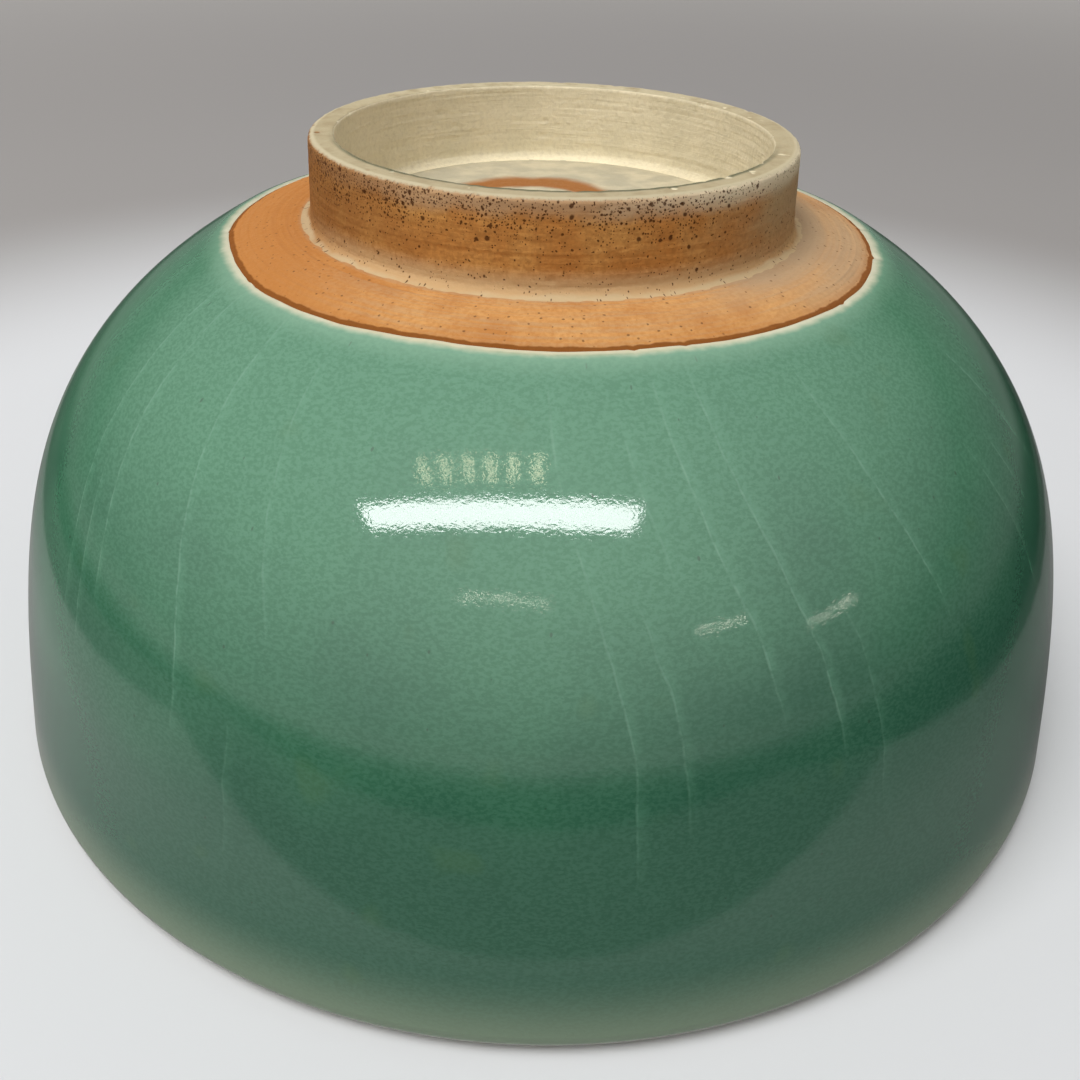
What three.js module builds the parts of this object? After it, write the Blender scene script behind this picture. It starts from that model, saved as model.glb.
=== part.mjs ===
// Matcha bowl (chawan): one thrown and trimmed stoneware body with a turned foot ring, and the
// celadon glaze that covers it inside and out. The bare clay shoulder and foot stay unglazed.
//
// Millimetres, +Z up. The bowl stands upside down on its lip, as it is set down to dry: the lip is
// on Z = 0, the foot points up, and the origin is the centre of the rim on the axis of the bowl.
import * as THREE from 'three';

// ---- Driving dimensions -------------------------------------------------------------------------

const rimRadius = 65; // outer radius of the glazed lip, the widest part
const overallHeight = 65.5; // lip to the face of the foot ring
const glazeThickness = 0.5; // celadon on the walls and the lip
const lipThickness = 3.8; // clay wall where it rounds over at the lip
const floorThickness = 6; // clay under the foot ring and across the floor
const glazeLineRadius = 35; // where the outer glaze stops and the bare shoulder starts
const shoulderClimb = 0.415; // share of the bare shoulder's width before it levels out
const footHeight = 8.8; // face of the foot ring above the shoulder
const footRadius = 25.9; // outer radius at the face of the foot ring
const footWall = 2.7; // thickness of the foot ring at its face
const footTaper = 0.4; // the foot ring's outer wall spreads this much towards the shoulder
const footFillet = 1.1; // curve where the foot ring meets the shoulder, outside and in
const footChamfer = 0.6; // bevel on the outer edge of the foot ring's face
const footInnerRound = 0.3; // bevel on the inner edge of the foot ring's face
const wellGlazeRadius = 7; // spot of glaze on the floor of the foot's well
const wellGlazeThickness = 0.45;
const wellGlazeEdge = 1.2; // width of the spot's sloping edge
const fitGap = 0.05; // hairline between solids that meet

// Shape of the outer wall, from the lip to the glaze line.
const lipLean = 9.2; // degrees that the wall leans inward where it leaves the lip
const bellyPull = 22.7; // length of the straight pull above the lip
const shoulderSlope = 26.9; // degrees from level where the wall reaches the glaze line
const shoulderPull = 27; // length of the pull below the glaze line

// Steps around the axis and along each curve.
const turnSteps = 64;
const wallSteps = 10;
const lipSteps = 3; // on each side of the lip's lowest point
const floorSteps = 5;
const shoulderSteps = 3;
const filletSteps = 3;

// ---- Sizes that follow from them ----------------------------------------------------------------

const wellFloorHeight = overallHeight - footHeight;
const innerFloorHeight = wellFloorHeight - floorThickness;
const lipRadius = lipThickness / 2; // half-round clay edge under the glaze
const glazeFoot = fitGap; // height of a glaze's underside above the clay
const glazeFace = fitGap + glazeThickness; // height of a glaze's outer face above the clay
const glazedLipRadius = lipRadius + glazeFace;
const footBaseHeight = wellFloorHeight + fitGap;
const footInnerRadius = footRadius - footWall;
const footBaseRadius = footRadius + footTaper;
const shoulderEndRadius = footBaseRadius + footFillet;
const climbWidth = shoulderClimb * (glazeLineRadius - shoulderEndRadius);
const shoulderRise = climbWidth * Math.tan(THREE.MathUtils.degToRad(shoulderSlope));
const glazeLineHeight = wellFloorHeight - shoulderRise;

// ---- Points and curves in the profile plane (x is the radius, y the height) ---------------------

const point = (radius, height) => new THREE.Vector2(radius, height);

/** A unit vector at an angle in degrees, counted from outward (0) towards up (90). */
const direction = (degrees) => {
  const angle = THREE.MathUtils.degToRad(degrees);
  return point(Math.cos(angle), Math.sin(angle));
};

/** The start moved a distance along a direction. */
const step = (start, towards, distance) => start.clone().addScaledVector(towards, distance);

/** The direction turned a quarter turn clockwise: outward for a wall that climbs. */
const outwardOf = (along) => point(along.y, -along.x);

/** Points on an arc about a centre, from one angle in degrees to another, both ends included. */
function arc(centre, radius, fromDegrees, toDegrees, steps) {
  return Array.from({ length: steps + 1 }, (_, index) => {
    const degrees = THREE.MathUtils.lerp(fromDegrees, toDegrees, index / steps);
    return step(centre, direction(degrees), radius);
  });
}

/** A quarter-round fillet from a wall down to a floor, hollow towards the open side (1 out, -1 in). */
function fillet(cornerRadius, height, openSide) {
  const centre = point(cornerRadius + openSide * footFillet, height + footFillet);
  const wallSide = openSide > 0 ? 180 : 0;
  const angles = [wallSide, wallSide + openSide * 90];
  return arc(centre, footFillet, ...angles, filletSteps);
}

const lipCentre = point(rimRadius - glazedLipRadius, glazedLipRadius);
const outerLipAngle = lipLean;
const innerLipAngle = -180 + lipLean;
const lowestAngle = -90;

/** The outer clay wall as a curve from the lip to the glaze line. */
const outerWall = (() => {
  const start = step(lipCentre, direction(outerLipAngle), lipRadius);
  const end = point(glazeLineRadius, glazeLineHeight);
  const leaving = direction(90 + lipLean);
  const arriving = direction(180 - shoulderSlope);
  return new THREE.CubicBezierCurve(
    start,
    step(start, leaving, bellyPull),
    step(end, arriving, -shoulderPull),
    end,
  );
})();

/** Evenly spaced stations on a curve, each with its point and the direction out of the clay. */
function stationsOn(curve, steps) {
  return Array.from({ length: steps + 1 }, (_, index) => {
    const share = index / steps;
    return { share, at: curve.getPoint(share), outward: outwardOf(curve.getTangent(share)) };
  });
}

/** The surface that lies a depth below each station, which may change along the curve. */
const below = (stations, depthAt) =>
  stations.map(({ share, at, outward }) => step(at, outward, -depthAt(share)));

/** The clay wall thickens evenly from the lip to the floor. */
const thicknessAt = (share) => THREE.MathUtils.lerp(lipThickness, floorThickness, share);

const wallStations = stationsOn(outerWall, wallSteps);
const outerClay = below(wallStations, () => 0);
const outerGlazeFoot = below(wallStations, () => -glazeFoot);
const outerGlazeFace = below(wallStations, () => -glazeFace);
const innerClay = below(wallStations, thicknessAt);

/** The inner floor runs from the end of the inner wall to the axis and levels out. */
const innerFloor = (() => {
  const start = innerClay.at(-1);
  const climb = innerFloorHeight - start.y;
  const knee = step(start, direction(180 - shoulderSlope), climb / direction(shoulderSlope).y);
  return new THREE.QuadraticBezierCurve(start, knee, point(0, innerFloorHeight));
})();

/** The bare shoulder climbs from the glaze line as the wall does and levels out at the foot ring. */
const shoulder = new THREE.QuadraticBezierCurve(
  outerClay.at(-1),
  point(glazeLineRadius - climbWidth, wellFloorHeight),
  point(shoulderEndRadius, wellFloorHeight),
);

/** The round edge of the lip, with a point at its lowest, cut short by an angle at both ends. */
const lipEdge = (radius, cutShort) => [
  ...arc(lipCentre, radius, innerLipAngle + cutShort, lowestAngle, lipSteps),
  ...arc(lipCentre, radius, lowestAngle, outerLipAngle - cutShort, lipSteps).slice(1),
];

const floorStations = stationsOn(innerFloor, floorSteps).slice(1);

/** The inside surface at a height above the clay, from the lip to the axis. */
const insideSurface = (height) => [
  ...below(wallStations, (share) => thicknessAt(share) + height),
  ...below(floorStations, () => height),
];

// ---- Sub-parts ----------------------------------------------------------------------------------

/** Turns a profile about the axis into a solid that stands on +Z. */
function turned(name, profile, material) {
  const geometry = new THREE.LatheGeometry(profile, turnSteps);
  geometry.rotateX(Math.PI / 2);
  const mesh = new THREE.Mesh(geometry, material);
  mesh.name = name;
  return mesh;
}

/** The profile with its first point repeated at the end, so that it closes on itself. */
const closed = (profile) => [...profile, profile[0].clone()];

/** Bare fired clay: matt. */
function clay(colour, roughness) {
  return new THREE.MeshStandardMaterial({ color: colour, roughness, metalness: 0 });
}

/** Celadon glaze: glossy. */
function celadon(colour) {
  return new THREE.MeshStandardMaterial({ color: colour, roughness: 0.12, metalness: 0 });
}

/** The thrown body: wall, floor, rounded lip and bare shoulder, flat where the foot ring stands. */
function clayBody() {
  const profile = [
    ...insideSurface(0).toReversed(),
    ...lipEdge(lipRadius, 0).slice(1, -1),
    ...outerClay,
    ...shoulder.getPoints(shoulderSteps).slice(1),
    point(0, wellFloorHeight),
  ];
  return turned('clay_body', profile, clay(0xb98e66, 0.8));
}

/** The turned foot ring: tapered outside, straight inside, filleted into the shoulder and the well. */
function footRing() {
  const outerFoot = fillet(footBaseRadius, footBaseHeight, 1).toReversed();
  const innerFoot = fillet(footInnerRadius, footBaseHeight, -1);
  const profile = closed([
    ...outerFoot,
    point(footRadius, overallHeight - footChamfer),
    point(footRadius - footChamfer, overallHeight),
    point(footInnerRadius + footInnerRound, overallHeight),
    point(footInnerRadius, overallHeight - footInnerRound),
    ...innerFoot,
  ]);
  return turned('foot_ring', profile, clay(0xa9896a, 0.85));
}

/** The celadon on the outside, from the lip to the glaze line. */
function outerGlazeLayer() {
  const profile = closed([...outerGlazeFace, ...outerGlazeFoot.toReversed()]);
  return turned('outer_glaze', profile, celadon(0x8aa287));
}

/** The celadon over the rounded lip, which the bowl rests on when it is upside down. */
function lipGlazeLayer() {
  const seam = THREE.MathUtils.radToDeg(fitGap / lipRadius);
  const face = lipEdge(glazedLipRadius, seam);
  const foot = lipEdge(lipRadius + glazeFoot, seam);
  return turned('lip_glaze', closed([...face, ...foot.toReversed()]), celadon(0xc9c4a8));
}

/** The celadon on the inside, down the wall and across the floor. */
function innerGlazeLayer() {
  const profile = [...insideSurface(glazeFace).toReversed(), ...insideSurface(glazeFoot)];
  return turned('inner_glaze', profile, celadon(0x93aa8e));
}

/** A thin round spot of glaze on the floor of the foot's well. */
function wellGlazeSpot() {
  const profile = [
    point(0, footBaseHeight),
    point(wellGlazeRadius, footBaseHeight),
    point(wellGlazeRadius - wellGlazeEdge, footBaseHeight + wellGlazeThickness),
    point(0, footBaseHeight + wellGlazeThickness),
  ];
  return turned('well_glaze', profile, celadon(0xcfc8b0));
}

const bowl = new THREE.Group();
bowl.add(
  clayBody(),
  footRing(),
  outerGlazeLayer(),
  lipGlazeLayer(),
  innerGlazeLayer(),
  wellGlazeSpot(),
);

export default bowl;
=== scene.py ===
"""The looks of a matcha bowl: flashed stoneware under a celadon glaze, standing upside down on its lip.

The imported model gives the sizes. Each material layer of the bowl is a turned mesh of its own, with the
marks of throwing, trimming, glazing and firing, on a pale floor in a softly lit room.
"""

import logging
import math
import random
from dataclasses import dataclass, field
from enum import Enum
from typing import Callable, Iterable, Sequence

import bmesh
import bpy
from mathutils import Matrix, Vector, kdtree, noise


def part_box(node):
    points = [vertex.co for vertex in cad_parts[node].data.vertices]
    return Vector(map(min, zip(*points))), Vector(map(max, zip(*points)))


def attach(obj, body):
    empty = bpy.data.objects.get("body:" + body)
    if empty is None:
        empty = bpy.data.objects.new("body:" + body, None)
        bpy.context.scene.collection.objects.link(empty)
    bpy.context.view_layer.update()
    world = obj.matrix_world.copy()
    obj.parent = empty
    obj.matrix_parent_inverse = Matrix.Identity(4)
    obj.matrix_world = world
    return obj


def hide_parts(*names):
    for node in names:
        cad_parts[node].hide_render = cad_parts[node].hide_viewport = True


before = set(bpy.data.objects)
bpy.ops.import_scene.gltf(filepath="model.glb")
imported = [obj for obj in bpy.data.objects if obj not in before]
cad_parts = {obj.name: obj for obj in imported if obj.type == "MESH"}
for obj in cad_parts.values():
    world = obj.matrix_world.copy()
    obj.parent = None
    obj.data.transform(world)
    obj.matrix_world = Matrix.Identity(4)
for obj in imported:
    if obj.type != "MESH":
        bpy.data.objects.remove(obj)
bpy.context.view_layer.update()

LOG = logging.getLogger("matcha_bowl")
MM = 0.001
FULL_TURN = 2 * math.pi
SHARP_ANGLE = math.radians(38)
# How far the underside of a glaze lies inside the clay.
SUNK = 0.02 * MM
UP = Vector((0, 0, 1))
Colour = tuple[float, float, float]
Socket = bpy.types.NodeSocket


# ---- Sizes --------------------------------------------------------------------------------------


@dataclass(frozen=True)
class BowlSizes:
    """Sizes of the bowl in metres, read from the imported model's boxes."""

    rim_radius: float
    height: float
    shoulder_height: float
    foot_base_radius: float
    spot_thickness: float
    glaze_line_radius: float = 35 * MM
    glaze_thickness: float = 0.55 * MM
    lip_thickness: float = 3.8 * MM
    floor_thickness: float = 6 * MM
    foot_radius: float = 25.9 * MM
    foot_wall: float = 2.7 * MM
    foot_taper: float = 0.4 * MM
    foot_chamfer: float = 0.6 * MM
    shoulder_climb: float = 0.415

    @classmethod
    def from_model(cls) -> "BowlSizes":
        """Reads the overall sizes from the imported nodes.

        Returns:
            The sizes, with the finer ones at their designed values.
        """
        _, lip_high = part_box("lip_glaze")
        _, foot_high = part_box("foot_ring")
        _, clay_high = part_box("clay_body")
        spot_low, spot_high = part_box("well_glaze")
        return cls(
            rim_radius=lip_high.x,
            height=foot_high.z,
            shoulder_height=clay_high.z,
            foot_base_radius=foot_high.x,
            spot_thickness=spot_high.z - spot_low.z,
        )

    @property
    def foot_inner_radius(self) -> float:
        """Inner radius of the foot ring."""
        return self.foot_radius - self.foot_wall

    @property
    def foot_fillet(self) -> float:
        """Radius of the curve where the foot ring meets the shoulder."""
        return self.foot_base_radius - self.foot_radius - self.foot_taper


# ---- Curves in the profile plane ----------------------------------------------------------------


@dataclass(frozen=True)
class Station:
    """A point on a profile and the direction out of the clay there, both as (radius, 0, height)."""

    at: Vector
    outward: Vector

    def raised(self, height: float) -> Vector:
        """The point moved out of the clay by a height."""
        return self.at + self.outward * height


def upward(degrees: float) -> Vector:
    """A unit direction in the profile plane, from outward (0) towards up (90)."""
    angle = math.radians(degrees)
    return Vector((math.cos(angle), 0, math.sin(angle)))


def arc(centre: Vector, radius: float, start: float, stop: float, steps: int) -> list[Vector]:
    """Points on an arc in the profile plane.

    Args:
        centre: The arc's centre.
        radius: The arc's radius.
        start: The first angle in degrees.
        stop: The last angle in degrees.
        steps: The number of steps between them.

    Returns:
        The points, both ends included.
    """
    turns = (start + (stop - start) * index / steps for index in range(steps + 1))
    return [centre + upward(degrees) * radius for degrees in turns]


def straight(start: Vector, stop: Vector, steps: int) -> list[Vector]:
    """Evenly spaced points from one point to another, both included."""
    return [start.lerp(stop, index / steps) for index in range(steps + 1)]


def bezier(control: Sequence[Vector], steps: int) -> list[Station]:
    """Stations along a Bezier curve of any degree.

    Args:
        control: The curve's control points.
        steps: The number of steps along it.

    Returns:
        The stations, both ends included, with the outward side on the right of the travel.
    """
    stations = []
    for index in range(steps + 1):
        share = index / steps
        row = list(control)
        while len(row) > 2:
            row = [a.lerp(b, share) for a, b in zip(row, row[1:])]
        along = (row[1] - row[0]).normalized()
        stations.append(Station(row[0].lerp(row[1], share), Vector((along.z, 0, -along.x))))
    return stations


@dataclass(frozen=True)
class BowlProfile:
    """The bowl's clay surfaces as curves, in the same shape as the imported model."""

    sizes: BowlSizes
    lip_lean: float = 9.2
    belly_pull: float = 22.7 * MM
    shoulder_slope: float = 26.9
    shoulder_pull: float = 27 * MM

    @property
    def lip_radius(self) -> float:
        """Radius of the clay's rounded edge."""
        return self.sizes.lip_thickness / 2

    @property
    def lip_centre(self) -> Vector:
        """Centre of the lip's rounding."""
        glazed = self.lip_radius + self.sizes.glaze_thickness
        return Vector((self.sizes.rim_radius - glazed, 0, glazed))

    @property
    def climb_width(self) -> float:
        """Width of the bare shoulder that still climbs at the wall's slope."""
        bare = self.sizes.glaze_line_radius - self.sizes.foot_base_radius
        return self.sizes.shoulder_climb * bare

    @property
    def glaze_line(self) -> Vector:
        """The clay's surface where the outer glaze stops."""
        rise = self.climb_width * math.tan(math.radians(self.shoulder_slope))
        return Vector((self.sizes.glaze_line_radius, 0, self.sizes.shoulder_height - rise))

    def outer_wall(self, steps: int) -> list[Station]:
        """The outer clay wall from the lip to the glaze line.

        Args:
            steps: The number of steps along it.

        Returns:
            The stations, facing out of the bowl.
        """
        start = self.lip_centre + upward(self.lip_lean) * self.lip_radius
        belly = start + upward(90 + self.lip_lean) * self.belly_pull
        haunch = self.glaze_line - upward(180 - self.shoulder_slope) * self.shoulder_pull
        return bezier([start, belly, haunch, self.glaze_line], steps)

    def shoulder(self, steps: int) -> list[Station]:
        """The bare shoulder from the glaze line to the foot ring.

        Args:
            steps: The number of steps along it.

        Returns:
            The stations, facing up.
        """
        level = self.sizes.shoulder_height
        knee = Vector((self.sizes.glaze_line_radius - self.climb_width, 0, level))
        return bezier([self.glaze_line, knee, Vector((self.sizes.foot_base_radius, 0, level))], steps)

    def inner_wall(self, steps: int) -> list[Station]:
        """The inner clay wall from the lip to the edge of the floor, facing into the bowl.

        Args:
            steps: The number of steps along it.

        Returns:
            The stations.
        """
        thin, thick = self.sizes.lip_thickness, self.sizes.floor_thickness
        walls = self.outer_wall(steps)
        stations = []
        for index, wall in enumerate(walls):
            thickness = thin + (thick - thin) * index / steps
            stations.append(Station(wall.raised(-thickness), -wall.outward))
        return stations

    def inner_floor(self, steps: int) -> list[Station]:
        """The inner floor from the end of the inner wall to the axis, facing into the bowl.

        Args:
            steps: The number of steps along it.

        Returns:
            The stations.
        """
        start = self.inner_wall(1)[-1].at
        level = self.sizes.shoulder_height - self.sizes.floor_thickness
        reach = (level - start.z) / math.tan(math.radians(self.shoulder_slope))
        knee = Vector((start.x - reach, 0, level))
        floor = bezier([start, knee, Vector((0, 0, level))], steps)
        return [Station(station.at, -station.outward) for station in floor]

    def lip(self, radius: float, steps: int) -> list[Vector]:
        """The lip's rounding from its inner side to its outer side, at a radius about its centre."""
        return arc(self.lip_centre, radius, self.lip_lean - 180, self.lip_lean, steps)


# ---- Marks of the hand --------------------------------------------------------------------------


def turn_of(place: Vector) -> float:
    """The angle of a place about the axis, in radians."""
    return math.atan2(place.y, place.x)


def widened(place: Vector, grow: float) -> Vector:
    """A place moved out from the axis by a factor, at its own height."""
    return Vector((place.x * grow, place.y * grow, place.z))


def thrown_sway(place: Vector) -> Vector:
    """The bowl's slight departure from true round, shared by every layer.

    Args:
        place: A point of the true turned shape.

    Returns:
        The point with the sway added.
    """
    turn = turn_of(place)
    height = place.z / MM
    swell = 0.0016 * math.sin(2 * turn + 0.6) + 0.0009 * math.sin(3 * turn + height / 21)
    ripple = 0.0006 * math.sin(height / 4.6 + 0.4 * math.sin(turn))
    return widened(place, 1 + swell + ripple)


def glaze_line_wave(turn: float) -> float:
    """How far the glaze's edge strays from its mean circle at an angle, in metres.

    Args:
        turn: The angle about the axis, in radians.

    Returns:
        The distance, positive away from the axis.
    """
    ring = Vector((math.cos(turn), math.sin(turn), 0))
    slow = noise.noise(ring * 2.3 + Vector((0, 0, 5.1)))
    quick = noise.noise(ring * 11 + Vector((0, 0, 9.4)))
    nick = max(0.0, noise.noise(ring * 24) - 0.4)
    return (0.4 * slow + 0.1 * quick + 0.7 * nick) * MM


@dataclass
class Pits:
    """Small round dents left by grit and air in the clay."""

    count: int
    radius: float
    depth: float
    seed: int

    def press(self, bm: bmesh.types.BMesh, allowed: Callable[[Vector], bool]) -> None:
        """Presses the pits into the vertices that are allowed to take one.

        Args:
            bm: The mesh to press.
            allowed: Says whether a place may be the middle of a pit.
        """
        bm.normal_update()
        draw = random.Random(self.seed)
        middles = draw.sample([v for v in bm.verts if allowed(v.co)], self.count)
        tree = kdtree.KDTree(len(bm.verts))
        for vertex in bm.verts:
            tree.insert(vertex.co, vertex.index)
        tree.balance()
        bm.verts.ensure_lookup_table()
        for middle in middles:
            radius = self.radius * draw.uniform(0.6, 1.5)
            inward = -middle.normal.copy()
            for _, index, distance in tree.find_range(middle.co.copy(), radius):
                share = 1 - (distance / radius) ** 2
                bm.verts[index].co += inward * self.depth * share * share


# ---- Turned pieces ------------------------------------------------------------------------------


def linked(name: str, data: bpy.types.ID) -> bpy.types.Object:
    """A new object in the scene.

    Args:
        name: The object's name.
        data: Its mesh, light or camera.

    Returns:
        The object.
    """
    made = bpy.data.objects.new(name, data)
    bpy.context.scene.collection.objects.link(made)
    return made


def turned(outline: Sequence[Vector], closed: bool, steps: int) -> bmesh.types.BMesh:
    """Turns a profile about the axis: an eighth of a turn, doubled three times.

    Args:
        outline: The profile's points.
        closed: Whether the profile's last point joins its first.
        steps: The number of faces round the whole turn.

    Returns:
        The turned mesh, with its seams and poles merged and its faces outwards.
    """
    bm = bmesh.new()
    chain = [bm.verts.new(place) for place in outline]
    pairs = list(zip(chain, chain[1:]))
    if closed:
        pairs.append((chain[-1], chain[0]))
    edges = [bm.edges.new(pair) for pair in pairs]
    bmesh.ops.spin(
        bm, geom=chain + edges, cent=(0, 0, 0), axis=(0, 0, 1), dvec=(0, 0, 0),
        angle=FULL_TURN / 8, steps=steps // 8, use_merge=False,
    )
    for share in (8, 4, 2):
        copied = bmesh.ops.duplicate(bm, geom=bm.verts[:] + bm.edges[:] + bm.faces[:])["geom"]
        verts = [part for part in copied if isinstance(part, bmesh.types.BMVert)]
        turn = Matrix.Rotation(FULL_TURN / share, 3, "Z")
        bmesh.ops.rotate(bm, verts=verts, cent=(0, 0, 0), matrix=turn)
    bmesh.ops.remove_doubles(bm, verts=bm.verts, dist=0.002 * MM)
    bmesh.ops.recalc_face_normals(bm, faces=bm.faces)
    bm.verts.index_update()
    return bm


@dataclass
class TurnedPiece:
    """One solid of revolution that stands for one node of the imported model."""

    name: str
    node: str
    finish: "Finish"
    steps: int
    profile: BowlProfile
    obj: bpy.types.Object | None = field(default=None, init=False)

    @property
    def sizes(self) -> BowlSizes:
        """The bowl's sizes."""
        return self.profile.sizes

    @property
    def slot(self) -> str:
        """The name of the piece's material slot."""
        return self.finish.name

    def outline(self) -> tuple[list[Vector], bool]:
        """The profile's points, and whether it closes on itself."""
        raise NotImplementedError

    def finish_shape(self, bm: bmesh.types.BMesh) -> None:
        """Adds the marks that a plain turned shape lacks."""

    def build(self) -> bpy.types.Object:
        """Turns, marks and dresses the piece and hangs it on the frame.

        Returns:
            The finished object.
        """
        bm = turned(*self.outline(), self.steps)
        self.finish_shape(bm)
        for vertex in bm.verts:
            vertex.co = thrown_sway(vertex.co)
        for face in bm.faces:
            face.smooth = True
        mesh = bpy.data.meshes.new(self.name)
        bm.to_mesh(mesh)
        bm.free()
        mesh.set_sharp_from_angle(angle=SHARP_ANGLE)
        self.obj = linked(self.name, mesh)
        mesh.materials.append(self.finish.material())
        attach(self.obj, "root")
        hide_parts(self.node)
        LOG.info("%s: %d faces", self.name, len(mesh.polygons))
        return self.obj


def roughened(
    bm: bmesh.types.BMesh, amount: float, size: float, where: Callable[[Vector], float],
) -> None:
    """Moves vertices along their normals by a fine noise.

    Args:
        bm: The mesh to move.
        amount: The largest movement.
        size: The size of the noise's lumps.
        where: Gives the share of the movement at a place.
    """
    bm.normal_update()
    for vertex in bm.verts:
        share = where(vertex.co)
        if share:
            vertex.co += vertex.normal * amount * share * noise.noise(vertex.co / size)


def tooled(stations: Iterable[Station], depth: float, seed: int) -> list[Vector]:
    """Points along a surface that a trimming tool has ridged.

    Args:
        stations: The smooth surface.
        depth: The height of the ridges.
        seed: The seed of their random heights.

    Returns:
        The ridged points, with both ends left where they were.
    """
    stations = list(stations)
    draw = random.Random(seed)
    heights = [draw.uniform(-1, 1) for _ in stations]
    points = []
    for index, station in enumerate(stations):
        at_end = index in (0, len(stations) - 1)
        around = heights[max(0, index - 1): index + 2]
        height = 0 if at_end else depth * sum(around) / len(around)
        points.append(station.raised(height))
    return points


@dataclass
class ClayBody(TurnedPiece):
    """The thrown body, of which the bare shoulder and the floor of the foot's well show."""

    ridge_depth: float = 0.05 * MM
    well_ridges: float = 0.03 * MM
    well_rise: float = 0.25 * MM

    def outline(self) -> tuple[list[Vector], bool]:
        """The body's profile from the axis inside to the axis outside.

        Returns:
            The points, and whether the last joins the first.
        """
        profile = self.profile
        inside = [s.at for s in profile.inner_wall(22)] + [s.at for s in profile.inner_floor(10)][1:]
        lip = profile.lip(profile.lip_radius, 8)[1:-1]
        outside = [s.at for s in profile.outer_wall(26)]
        shoulder = tooled(profile.shoulder(60), self.ridge_depth, seed=11)[1:]
        level = self.sizes.shoulder_height
        under_foot = Vector((self.sizes.foot_inner_radius, 0, level))
        well = []
        for place in straight(under_foot, Vector((0, 0, level)), 70):
            rise = self.well_rise * (1 - place.x / under_foot.x) ** 2
            well.append(Station(place + UP * rise, UP))
        return inside[::-1] + lip + outside + shoulder + tooled(well, self.well_ridges, seed=12), False

    def bare(self, place: Vector) -> float:
        """1 on the bare shoulder and in the well, and 0 under the glaze."""
        outside = place.z > self.profile.glaze_line.z - 2 * MM
        return 1.0 if outside and place.xy.length > 1 * MM else 0.0

    def finish_shape(self, bm: bmesh.types.BMesh) -> None:
        """Grain, pits, and each vertex's distance inside the glaze's edge.

        Args:
            bm: The mesh to mark.
        """
        roughened(bm, amount=0.05 * MM, size=1.1 * MM, where=self.bare)
        on_shoulder = self.sizes.foot_base_radius + 0.6 * MM
        limit = self.sizes.glaze_line_radius - 0.8 * MM
        pits = Pits(count=70, radius=0.4 * MM, depth=0.12 * MM, seed=5)
        pits.press(bm, lambda p: self.bare(p) > 0 and on_shoulder < p.xy.length < limit)
        layer = bm.verts.layers.float.new("inside_edge")
        for vertex in bm.verts:
            edge = self.sizes.glaze_line_radius + glaze_line_wave(turn_of(vertex.co))
            vertex[layer] = (edge - vertex.co.xy.length) / MM


@dataclass
class FootRing(TurnedPiece):
    """The turned foot ring."""

    ridge_depth: float = 0.05 * MM
    face_ridges: float = 0.02 * MM
    inner_rounding: float = 0.3 * MM
    bedded: float = 0.3 * MM

    def outline(self) -> tuple[list[Vector], bool]:
        """The foot ring's profile, from the outer fillet over the face to the inner one.

        Returns:
            The points, and whether the last joins the first.
        """
        sizes = self.sizes
        level, top, fillet = sizes.shoulder_height, sizes.height, sizes.foot_fillet
        base = sizes.foot_radius + sizes.foot_taper
        outer_centre = Vector((base + fillet, 0, level + fillet))
        inner_centre = Vector((sizes.foot_inner_radius - fillet, 0, level + fillet))
        outer_top = Vector((sizes.foot_radius, 0, top - sizes.foot_chamfer))
        face_out = Vector((sizes.foot_radius - sizes.foot_chamfer, 0, top))
        face_in = Vector((sizes.foot_inner_radius + self.inner_rounding, 0, top))
        inner_top = Vector((sizes.foot_inner_radius, 0, top - self.inner_rounding))
        outer_fillet = arc(outer_centre, fillet, 270, 180, 10)
        inner_fillet = arc(inner_centre, fillet, 0, -90, 10)
        outer = [Station(p, upward(0)) for p in straight(outer_fillet[-1], outer_top, 46)]
        chamfer = bezier([outer_top, Vector((outer_top.x, 0, top - 0.12 * MM)), face_out], 6)
        face = [Station(p, upward(90)) for p in straight(face_out, face_in, 14)]
        edge = bezier([face_in, Vector((inner_top.x, 0, top)), inner_top], 4)
        inner = [Station(p, upward(180)) for p in straight(inner_top, inner_fillet[0], 40)]
        sunk = UP * -self.bedded
        return (
            [outer_fillet[0] + sunk] + outer_fillet[:-1]
            + tooled(outer, self.ridge_depth / 2, seed=21)
            + [s.at for s in chamfer][1:-1]
            + tooled(face, self.face_ridges, seed=22)
            + [s.at for s in edge][1:-1]
            + tooled(inner, self.ridge_depth / 2, seed=23)
            + inner_fillet[1:] + [inner_fillet[-1] + sunk]
        ), True

    def finish_shape(self, bm: bmesh.types.BMesh) -> None:
        """Grain, pits and a few knocks along the edges of the face.

        Args:
            bm: The mesh to mark.
        """
        above = self.sizes.shoulder_height + 0.5 * MM
        near_face = self.sizes.height - 0.25 * MM
        roughened(bm, amount=0.045 * MM, size=0.9 * MM, where=lambda p: 1.0 if p.z > above else 0.0)
        pits = Pits(count=110, radius=0.35 * MM, depth=0.13 * MM, seed=6)
        pits.press(bm, lambda p: p.z > above + 1 * MM)
        knocks = Pits(count=26, radius=0.5 * MM, depth=0.16 * MM, seed=7)
        knocks.press(bm, lambda p: p.z > near_face)


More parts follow.
